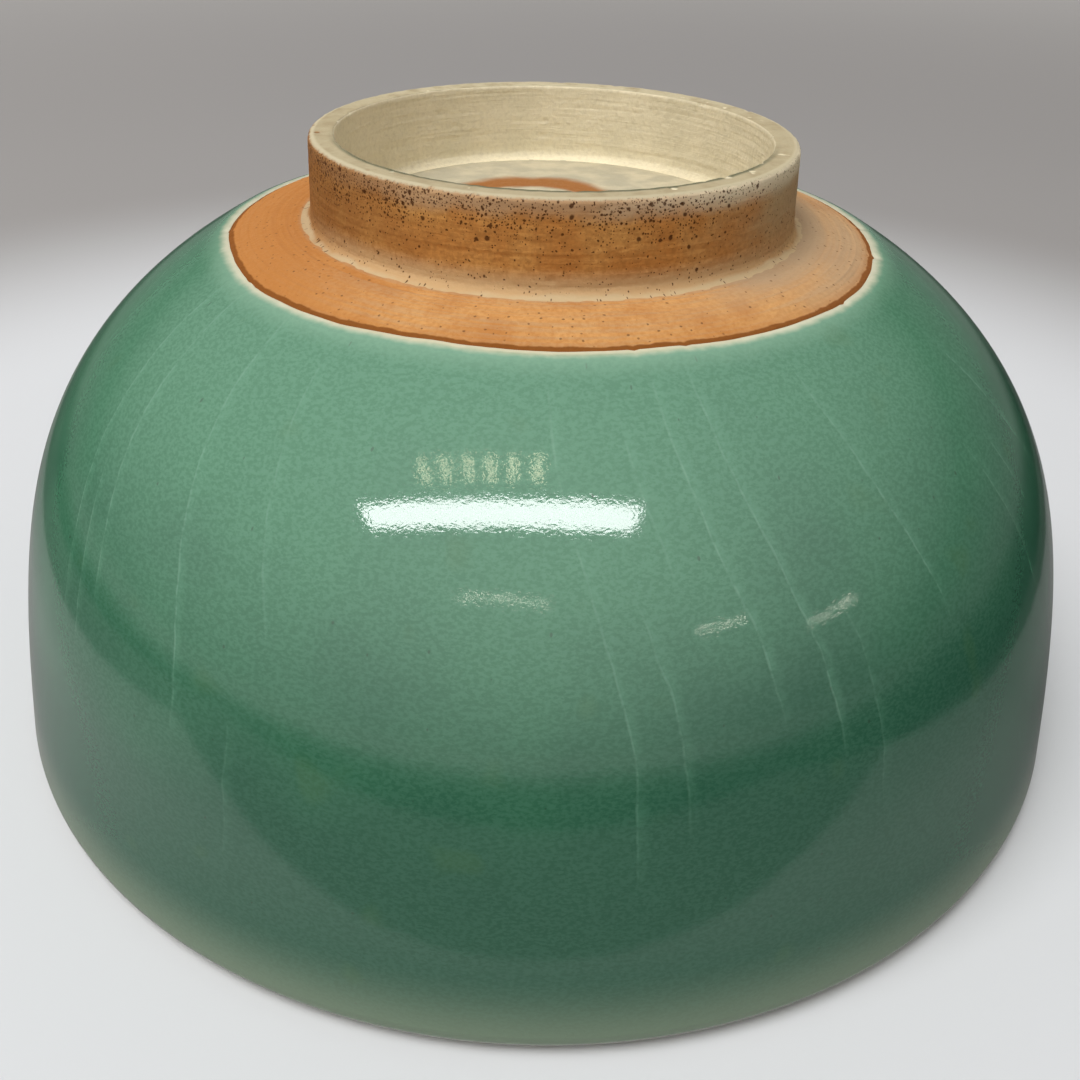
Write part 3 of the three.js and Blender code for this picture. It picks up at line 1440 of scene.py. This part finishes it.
@dataclass(frozen=True)
class FlashedClay(Finish):
    """Bare stoneware that the kiln has flashed orange, paler to one side, rusty along the glaze."""

    orange: Colour = (0.61, 0.315, 0.108)
    deep_orange: Colour = (0.44, 0.175, 0.045)
    pale: Colour = (0.42, 0.29, 0.17)
    cream: Colour = (0.68, 0.59, 0.40)
    rust: Colour = (0.19, 0.060, 0.010)
    iron: Colour = (0.12, 0.05, 0.02)
    well: Colour = (0.43, 0.385, 0.275)
    flash: Colour = (0.31, 0.125, 0.038)

    def wire(self, graph: Graph, here: Here, shader: bpy.types.Node) -> None:
        """The flashed shoulder, the rust line and the pale well, with a turned grain.

        Args:
            graph: The graph to add nodes to.
            here: The shaded point.
            shader: The finish's shader.
        """
        lines = graph.group(turning_marks(), Along=here.radius, Turn=here.turn, Pitch=0.45).outputs
        uneven = Unevenness.over(graph, here, 7, 0.5, 14)
        colour = self.flashed(graph, here, uneven, lines["Mask"])
        colour = self.welled(graph, here, self.rusted(graph, here, colour))
        rough = graph.ramp(uneven.fine, 0.3, 0.7, 0.62, 0.8)
        grain = graph.math("MULTIPLY_ADD", lines["Height"], 1.4, uneven.fine)
        shader.inputs["Specular IOR Level"].default_value = CLAY_SHEEN
        self.dress(graph, shader, colour, rough, grain, 0.09)

    def flashed(self, graph: Graph, here: Here, uneven: Unevenness, lines: Socket) -> Socket:
        """Orange that deepens to the left and pales to the right, with turning lines and specks.

        Args:
            graph: The graph to add nodes to.
            here: The shaded point.
            uneven: The clay's unevenness.
            lines: The mask of the turning lines.

        Returns:
            The colour.
        """
        side, fine = uneven.side, uneven.fine
        paler = graph.times(graph.ramp(side, 16, 30), graph.ramp(here.back, 26, -6), 0.75)
        inner_pale = graph.times(graph.ramp(here.radius, 34, 28), graph.ramp(side, 8, 24))
        by_foot = graph.ramp(graph.math("MULTIPLY_ADD", fine, 0.5, here.radius), 28.2, 27.5)
        return graph.layered(
            self.orange,
            (graph.ramp(uneven.cloud, 0.4, 0.75), self.deep_orange),
            (graph.times(lines, 0.42), self.pale),
            (graph.ramp(fine, 0.35, 0.7, 0, 0.5), self.deep_orange),
            (graph.ramp(side, -10, -28, 0, 0.9), self.deep_orange),
            (graph.math("MAXIMUM", paler, inner_pale), self.pale),
            (graph.times(by_foot, 0.4), self.pale),
            (graph.times(specks(graph, here.spot, 0.95, 0.17, 0.42), 0.75), self.iron),
        )

    def rusted(self, graph: Graph, here: Here, colour: Socket) -> Socket:
        """The colour with the rust line that the glaze leaves along its edge.

        Args:
            graph: The graph to add nodes to.
            here: The shaded point.
            colour: The colour so far.

        Returns:
            The colour with the rust.
        """
        away = graph.stray(graph.attribute("inside_edge"), graph.noise(here.spot, 1.4, 2), 0.5)
        return graph.layered(
            colour,
            (graph.ramp(away, 1.7, 0.3, 0, 0.45), self.deep_orange),
            (graph.ramp(away, 0.62, 0.42, 0, 0.92), self.rust),
        )

    def welled(self, graph: Graph, here: Here, colour: Socket) -> Socket:
        """The colour with the pale floor of the well and the flashed ring round its glaze spot.

        Args:
            graph: The graph to add nodes to.
            here: The shaded point.
            colour: The colour so far.

        Returns:
            The colour with the well.
        """
        away = from_ring_middle(graph, here, graph.noise(here.spot, 5, 2), 2.4)
        ground = graph.layered(
            self.well,
            (graph.ramp(graph.noise(here.spot, 3, 3), 0.35, 0.7, 0, 0.5), self.cream),
            (graph.times(graph.ramp(away, 12.0, 9.8), graph.ramp(away, 6.2, 7.6)), self.flash),
        )
        return graph.mix(graph.ramp(here.radius, 24.6, 24.2), colour, ground)


@dataclass(frozen=True)
class SpeckSet:
    """Iron specks of one size, in millimetres, and how crowded they are at most and at least."""

    spacing: float
    size: float
    crowded: float
    least: float


SPECK_SETS = (
    SpeckSet(0.27, 0.11, 1.1, 0.14),
    SpeckSet(0.46, 0.18, 1.0, 0.05),
    SpeckSet(1.05, 0.30, 0.9, 0.02),
)


@dataclass(frozen=True)
class FootClay(Finish):
    """The foot's clay: orange-brown outside with iron specks, cream on its edges and inside."""

    sizes: BowlSizes
    brown: Colour = (0.47, 0.195, 0.046)
    dark_brown: Colour = (0.26, 0.11, 0.030)
    ochre: Colour = (0.57, 0.285, 0.080)
    ochre_pale: Colour = (0.55, 0.36, 0.18)
    olive: Colour = (0.33, 0.26, 0.15)
    blush: Colour = (0.43, 0.28, 0.16)
    cream: Colour = (0.78, 0.70, 0.50)
    face_clay: Colour = (0.50, 0.43, 0.28)
    inside: Colour = (0.83, 0.74, 0.53)
    edge: Colour = (0.52, 0.45, 0.30)
    fillet: Colour = (0.54, 0.43, 0.26)
    dusk: Colour = (0.10, 0.105, 0.06)
    iron: Colour = (0.058, 0.016, 0.003)

    @property
    def base(self) -> float:
        """Height of the shoulder in millimetres."""
        return self.sizes.shoulder_height / MM

    @property
    def top(self) -> float:
        """Height of the foot's face in millimetres."""
        return self.sizes.height / MM

    def wire(self, graph: Graph, here: Here, shader: bpy.types.Node) -> None:
        """The wall, the inside and the face, with a pale outer edge and a turned grain.

        Args:
            graph: The graph to add nodes to.
            here: The shaded point.
            shader: The finish's shader.
        """
        top = self.top
        lines = graph.group(turning_marks(), Along=here.height, Turn=here.turn, Pitch=0.5).outputs
        uneven = Unevenness.over(graph, here, 5, 0.45, 12)
        fine = uneven.fine
        middle = (self.sizes.foot_radius + self.sizes.foot_inner_radius) / 2 / MM
        outside = graph.ramp(graph.stray(here.radius, fine, 0.2), middle - 0.4, middle + 0.4)
        at_top = graph.ramp(graph.stray(here.height, fine, 0.35), top - 0.3, top - 0.08)
        colour = graph.layered(
            self.inner(graph, uneven),
            (outside, self.wall(graph, here, uneven, lines["Mask"])),
            (graph.ramp(here.height, top - 0.14, top - 0.05), self.face(graph, here)),
            (graph.times(at_top, graph.ramp(here.radius, 25.1, 25.5), 0.85), self.edge),
        )
        grain = graph.math("MULTIPLY_ADD", lines["Height"], 1.2, fine)
        shader.inputs["Specular IOR Level"].default_value = CLAY_SHEEN
        self.dress(graph, shader, colour, graph.ramp(fine, 0.3, 0.7, 0.6, 0.8), grain, 0.08)

    def wall(self, graph: Graph, here: Here, uneven: Unevenness, lines: Socket) -> Socket:
        """The outer wall in bands by height, dark to the left and olive to the right.

        Args:
            graph: The graph to add nodes to.
            here: The shaded point.
            uneven: The clay's unevenness.
            lines: The mask of the turning lines.

        Returns:
            The colour.
        """
        base, top, height, back = self.base, self.top, here.height, here.back
        cloud, fine, side = uneven.cloud, uneven.fine, uneven.side
        olive = graph.times(graph.ramp(side, 10, 28), graph.ramp(height, base + 1, base + 5, 0.45, 0.8))
        low = graph.ramp(graph.stray(height, fine, 0.8), base + 2.8, base + 0.9)
        corner = graph.times(graph.ramp(height, top - 2.6, top - 0.6), graph.ramp(side, 2, 16), 0.6)
        wall = graph.layered(
            self.brown,
            (graph.ramp(cloud, 0.35, 0.7), self.ochre),
            (graph.times(lines, 0.1), self.ochre),
            (graph.ramp(fine, 0.35, 0.65, 0, 0.42), self.dark_brown),
            (graph.ramp(graph.stray(height, cloud, 3.0), top - 2.4, top - 0.7, 0, 0.75), self.blush),
            (graph.ramp(side, -8, -24, 0, 0.85), self.dark_brown),
            (olive, self.olive),
            (graph.times(low, graph.ramp(back, -8, -24, 0.15, 0.95)), self.ochre_pale),
            (graph.ramp(graph.stray(height, cloud, 1.3), base + 0.4, base, 0, 0.65), self.fillet),
            (corner, self.inside),
        )
        return self.specked(graph, here, wall)

    def inner(self, graph: Graph, uneven: Unevenness) -> Socket:
        """The cream inner wall, with painted shade greying it to the right.

        Args:
            graph: The graph to add nodes to.
            uneven: The clay's unevenness.

        Returns:
            The colour.
        """
        return graph.layered(
            self.inside,
            (graph.ramp(uneven.cloud, 0.35, 0.7), self.cream),
            (graph.ramp(uneven.fine, 0.4, 0.8, 0, 0.2), self.olive),
            # Painted shade: olive greys the inner wall towards the right.
            (graph.ramp(uneven.side, 2, 24, 0, 0.26), self.olive),
        )

    def face(self, graph: Graph, here: Here) -> Socket:
        """The smudged face, pale along its outer edge, lighter at the back as a painted sheen, and dusky
        along its inner edge in front.

        Args:
            graph: The graph to add nodes to.
            here: The shaded point.

        Returns:
            The colour.
        """
        in_front = graph.times(graph.ramp(here.back, -2, -16), graph.ramp(here.radius, 24.1, 23.6))
        return graph.layered(
            self.face_clay,
            (graph.ramp(graph.noise(here.spot, 2.4, 3, 0.55), 0.4, 0.75, 0, 0.8), self.olive),
            (graph.ramp(here.radius, 25.1, 25.4, 0, 0.7), self.edge),
            # Painted sheen: olive greys the face everywhere but at the back, which stays lighter.
            (graph.ramp(here.back, 22, 4, 0, 0.45), self.olive),
            (graph.times(in_front, 0.9), self.dusk),
        )

    def specked(self, graph: Graph, here: Here, colour: Socket) -> Socket:
        """The colour with three sizes of iron speck, thick under the face and thin lower down.

        Args:
            graph: The graph to add nodes to.
            here: The shaded point.
            colour: The colour so far.

        Returns:
            The colour with the specks.
        """
        around = here.around(graph, FULL_TURN * self.sizes.foot_radius / MM)
        gather = graph.ramp(here.height, self.top - 5.0, self.top - 0.8)
        patch = graph.ramp(graph.noise(here.spot, 4, 3), 0.3, 0.6, 0.3, 1)
        amount = graph.times(gather, patch, graph.ramp(here.right, 24, 4, 0.12, 1))
        for kind in SPECK_SETS:
            crowd = graph.math("MULTIPLY_ADD", amount, kind.crowded, kind.least)
            mask = specks(graph, around, kind.spacing, kind.size, crowd)
            colour = graph.mix(graph.times(mask, 0.88), colour, self.iron)
        return colour


@dataclass(frozen=True)
class PaleGlaze(Finish):
    """Thin glaze that stays pale over the clay."""

    body: Colour = (0.60, 0.52, 0.36)
    edge: Colour = (0.52, 0.30, 0.13)

    def wire(self, graph: Graph, here: Here, shader: bpy.types.Node) -> None:
        """A pale middle that warms towards its edge, with a soft gloss.

        Args:
            graph: The graph to add nodes to.
            here: The shaded point.
            shader: The finish's shader.
        """
        away = from_ring_middle(graph, here, graph.noise(here.spot, 2, 3), 2)
        colour = graph.mix(graph.ramp(away, 4.4, 6.4), self.body, self.edge)
        rough = graph.ramp(graph.noise(here.spot, 1, 2), 0.3, 0.7, 0.2, 0.34)
        self.dress(graph, shader, colour, rough, graph.noise(here.spot, 0.8, 2), 0.02)


# ---- Stage --------------------------------------------------------------------------------------


# How the room's brightness rises along each axis, what it is level with the bowl, and its least.
ROOM_SLOPE = (-0.25, -0.72, 1.87)
ROOM_EVEN = 0.22
ROOM_LEAST = 0.17
# The far lamps' bearing from the front, height angle and width angle, in degrees.
FAR_LAMPS = ((-8, 39, 17), (39, 26, 9), (62, 17.5, 11))


def mirrored_room() -> bpy.types.NodeTree:
    """How bright the room is towards a direction, as the glaze mirrors it.

    Returns:
        The group.
    """
    def wire(graph: Graph, given: Sockets) -> Sockets:
        """Joins the nodes that find the brightness.

        Args:
            graph: The graph to add nodes to.
            given: The group's inputs.

        Returns:
            The group's outputs.
        """
        bearing = graph.vector("NORMALIZE", given["Vector"])
        bright = graph.vector_number("DOT_PRODUCT", bearing, ROOM_SLOPE)
        return {"Glow": graph.math("MAXIMUM", graph.math("ADD", bright, ROOM_EVEN), ROOM_LEAST)}

    return shared_group("mirrored_room", {"Vector": ORIGIN}, wire)


@dataclass(frozen=True)
class Rectangle:
    """A four-sided outline on the floor, whose right side leans in towards its near end."""

    left: float
    near: float
    right: float
    far: float
    lean: float = 0.0

    def corners(self) -> list[tuple[float, float]]:
        """The four corners in order round the rectangle."""
        near = [(self.left, self.near), (self.right - self.lean, self.near)]
        return near + [(self.right, self.far), (self.left, self.far)]


@dataclass(frozen=True)
class PaintedReflectionCard:
    """A flat glowing frame just over the floor that only the glaze mirrors: a painted reflection, not a
    lamp.

    Its glow is an even part and a part that follows the room's brightness at each bearing; both dim to a
    share of themselves from the full radius in to the dim radius. On the sheet card this dimming by the
    bowl is painted contact shade.
    """

    name: str
    outer: Rectangle
    inner: Rectangle
    even: float
    by_bearing: float
    dim_radius: float
    full_radius: float
    dim_share: float


@dataclass(frozen=True)
class Lamp:
    """A rectangular light that the camera does not see.

    It faces down, or the origin if it is aimed. It lights either the gloss or the matt surfaces.
    """

    name: str
    place: Vector
    size: tuple[float, float]
    glow: float
    colour: Colour
    aimed: bool = False
    in_gloss: bool = True

    def build(self) -> None:
        """Makes the lamp, with a power that gives its face the same glow at any size."""
        light = bpy.data.lights.new(self.name, "AREA")
        light.shape = "RECTANGLE"
        light.size, light.size_y = self.size
        light.energy = math.pi * self.size[0] * self.size[1] * self.glow
        light.color = self.colour
        lamp = linked(self.name, light)
        toward = -self.place if self.aimed else Vector((0, 0, -1))
        lamp.location = self.place
        lamp.rotation_euler = toward.to_track_quat("-Z", "Y").to_euler()
        lamp.visible_camera = False
        lamp.visible_glossy = self.in_gloss
        lamp.visible_diffuse = not self.in_gloss


@dataclass
class Studio:
    """The pale floor, the lights, and glowing cards that paint what the glaze mirrors of the table and the
    room.
    """

    floor_radius: float = 4.0
    floor_near: Colour = (0.625, 0.63, 0.64)
    floor_middle: Colour = (0.31, 0.295, 0.285)
    floor_far: Colour = (0.80, 0.77, 0.74)
    background: Colour = (0.36, 0.345, 0.33)
    card_colour: Colour = (1, 0.98, 0.97)
    card_level: float = 0.4 * MM
    under_bowl: Rectangle = Rectangle(-0.040, -0.040, 0.040, 0.040)
    sheet: Rectangle = Rectangle(-0.120, -0.080, 0.110, 0.240)
    table: Rectangle = Rectangle(-0.180, -0.139, 0.190, 0.400, 0.085)
    room: Rectangle = Rectangle(-3.0, -3.0, 3.0, 3.0)
    lamp_height: float = 1.25
    small_lamps: int = 6
    far_distance: float = 2.0

    def build(self) -> None:
        """Makes the floor, the cards that only show in the gloss, the lights and the world."""
        self.floor()
        for card in self.cards():
            self.card(card)
        for lamp in self.lamps() + self.far_lamps():
            lamp.build()
        self.world()

    def floor(self) -> None:
        """A round floor: pale under the bowl, greyer round it, and pale again far away."""
        bm = bmesh.new()
        bmesh.ops.create_circle(bm, cap_ends=True, segments=96, radius=self.floor_radius)
        graph = self.staged("floor", bm)
        away = graph.length(graph.coordinates())
        colour = graph.layered(
            self.floor_near,
            (graph.ramp(away, 0.12, 0.23), self.floor_middle),
            (graph.ramp(away, 0.3, 1.6), self.floor_far),
        )
        shader = graph.node("ShaderNodeBsdfDiffuse", {"Color": colour})
        graph.node("ShaderNodeOutputMaterial", {"Surface": shader.outputs[0]})

    def staged(self, name: str, bm: bmesh.types.BMesh) -> Graph:
        """Turns a mesh into a part of the stage.

        Args:
            name: The name of the object and its material.
            bm: The mesh, which is freed.

        Returns:
            The graph of its empty material.
        """
        mesh = bpy.data.meshes.new(name)
        bm.to_mesh(mesh)
        bm.free()
        thing = linked(name, mesh)
        material, graph = new_material(name)
        mesh.materials.append(material)
        return graph

    def cards(self) -> list[PaintedReflectionCard]:
        """Painted reflections of the pale sheet, the table round it and the room beyond, as the glaze
        mirrors them.

        Returns:
            The cards, from the bowl outwards.
        """
        return [
            PaintedReflectionCard("painted_reflection_of_sheet", self.sheet, self.under_bowl, 0.1, 0.66, 0.062, 0.09, 0.5),
            PaintedReflectionCard("painted_reflection_of_table", self.table, self.sheet, 0.0, 0.33, 0.0, 0.1, 1.0),
            PaintedReflectionCard("painted_reflection_of_room", self.room, self.table, 0.0, 1.0, 0.17, 0.42, 0.01),
        ]

    def card(self, card: PaintedReflectionCard) -> None:
        """Makes a glowing card, a painted reflection that only reflections see.

        Args:
            card: The card's outline and glow.
        """
        bm = bmesh.new()
        loops = []
        for rectangle in (card.outer, card.inner):
            verts = [bm.verts.new((x, y, self.card_level)) for x, y in rectangle.corners()]
            loops += [bm.edges.new((a, b)) for a, b in zip(verts, verts[1:] + verts[:1])]
        bmesh.ops.bridge_loops(bm, edges=loops)
        graph = self.staged(card.name, bm)
        place = graph.coordinates()
        room = graph.group(mirrored_room(), Vector=place).outputs["Glow"]
        # Painted contact shade on the sheet card: its glow dims close to the bowl.
        near = graph.ramp(graph.length(place), card.dim_radius, card.full_radius, card.dim_share, 1)
        strength = graph.times(graph.math("MULTIPLY_ADD", room, card.by_bearing, card.even), near)
        shine = graph.node("ShaderNodeEmission", {"Color": self.card_colour, "Strength": strength})
        graph.node("ShaderNodeOutputMaterial", {"Surface": shine.outputs[0]})
        for ray in ("camera", "diffuse", "transmission", "volume_scatter", "shadow"):
            setattr(bpy.data.objects[card.name], f"visible_{ray}", False)

    def lamps(self) -> list[Lamp]:
        """The soft light of the matt surfaces, and the long ceiling light with small warm lamps.

        Returns:
            The lamps.
        """
        soft_place = Vector((-0.42, -0.36, 1.22))
        long_place = Vector((-0.22, -0.68, self.lamp_height))
        lamps = [
            Lamp("soft_light", soft_place, (0.8, 0.8), 7.8, (1, 1, 1), aimed=True, in_gloss=False),
            Lamp("ceiling_light", long_place, (1.29, 0.20), 17, (0.98, 0.98, 1)),
        ]
        for index in range(self.small_lamps):
            place = Vector((-0.47 + 0.09 * index, -0.39, self.lamp_height))
            lamps.append(Lamp(f"small_lamp_{index + 1}", place, (0.024, 0.15), 9.5, (1, 0.9, 0.6)))
        return lamps

    def far_lamps(self) -> list[Lamp]:
        """The thin far lamps, all at one distance and aimed at the bowl.

        Returns:
            The lamps.
        """
        distance = self.far_distance
        lamps = []
        for index, angles in enumerate(FAR_LAMPS):
            turn, lift, width = (math.radians(angle) for angle in angles)
            flat = distance * math.cos(lift)
            place = Vector((flat * math.sin(turn), -flat * math.cos(turn), distance * math.sin(lift)))
            size = (2 * distance * math.tan(width / 2), 0.008)
            lamps.append(Lamp(f"far_lamp_{index + 1}", place, size, 30, (1, 0.97, 0.8), aimed=True))
        return lamps

    def world(self) -> None:
        """Soft light from all round; the gloss sees a room brightest above, in front, to the left."""
        world = bpy.data.worlds.new("soft_room")
        bpy.context.scene.world = world
        world.use_nodes = True
        graph = Graph(world.node_tree)
        place = graph.node("ShaderNodeTexCoord", {}).outputs["Generated"]
        mirrored = graph.group(mirrored_room(), Vector=place).outputs["Glow"]
        ray = graph.node("ShaderNodeLightPath", {}).outputs
        seen = graph.layered(
            graph.ramp(graph.split(place)[2], -0.05, 0.9, 0.22, 0.55),
            (ray["Is Glossy Ray"], mirrored),
            (ray["Is Camera Ray"], self.background),
        )
        back = graph.node("ShaderNodeBackground", {"Color": seen, "Strength": 1.0})
        graph.node("ShaderNodeOutputWorld", {"Surface": back.outputs[0]})


@dataclass(frozen=True)
class Camera:
    """A close view from above the front of the bowl, with a phone's wide lens."""

    place: tuple[float, float, float] = (-0.27 * MM, -120.66 * MM, 92.52 * MM)
    down: float = 33.43
    roll: float = 1.70
    lens: float = 36.07
    sensor: float = 36.0

    def build(self) -> None:
        """Makes the camera and sets it as the scene's."""
        data = bpy.data.cameras.new("camera")
        data.lens = self.lens
        data.sensor_width = self.sensor
        data.clip_start = 5 * MM
        data.dof.use_dof = False
        camera = linked("camera", data)
        tilt = Matrix.Rotation(math.radians(90 - self.down), 4, "X")
        roll = Matrix.Rotation(math.radians(self.roll), 4, "Z")
        camera.matrix_world = Matrix.Translation(self.place) @ tilt @ roll
        bpy.context.scene.camera = camera


def main() -> None:
    """Builds the bowl layer by layer, then the studio and the camera."""
    logging.basicConfig(level=logging.INFO, format="%(name)s %(message)s")
    bpy.context.scene.view_settings.view_transform = "Standard"
    sizes = BowlSizes.from_model()
    profile = BowlProfile(sizes)
    outside, lip, inside = (Celadon(f"celadon_{side.value}", side) for side in GlazeSide)
    pieces = (
        ClayBody("thrown_body", "clay_body", FlashedClay("flashed_stoneware"), 420, profile),
        FootRing("turned_foot", "foot_ring", FootClay("speckled_foot_clay", sizes), 480, profile),
        OuterGlaze("outside_celadon", "outer_glaze", outside, 420, profile),
        LipGlaze("lip_celadon", "lip_glaze", lip, 420, profile),
        InnerGlaze("inside_celadon", "inner_glaze", inside, 300, profile),
        WellGlaze("well_spot", "well_glaze", PaleGlaze("pale_glaze_spot"), 160, profile),
    )
    for piece in pieces:
        piece.build()
    Studio().build()
    Camera().build()


if __name__ == "__main__":
    main()
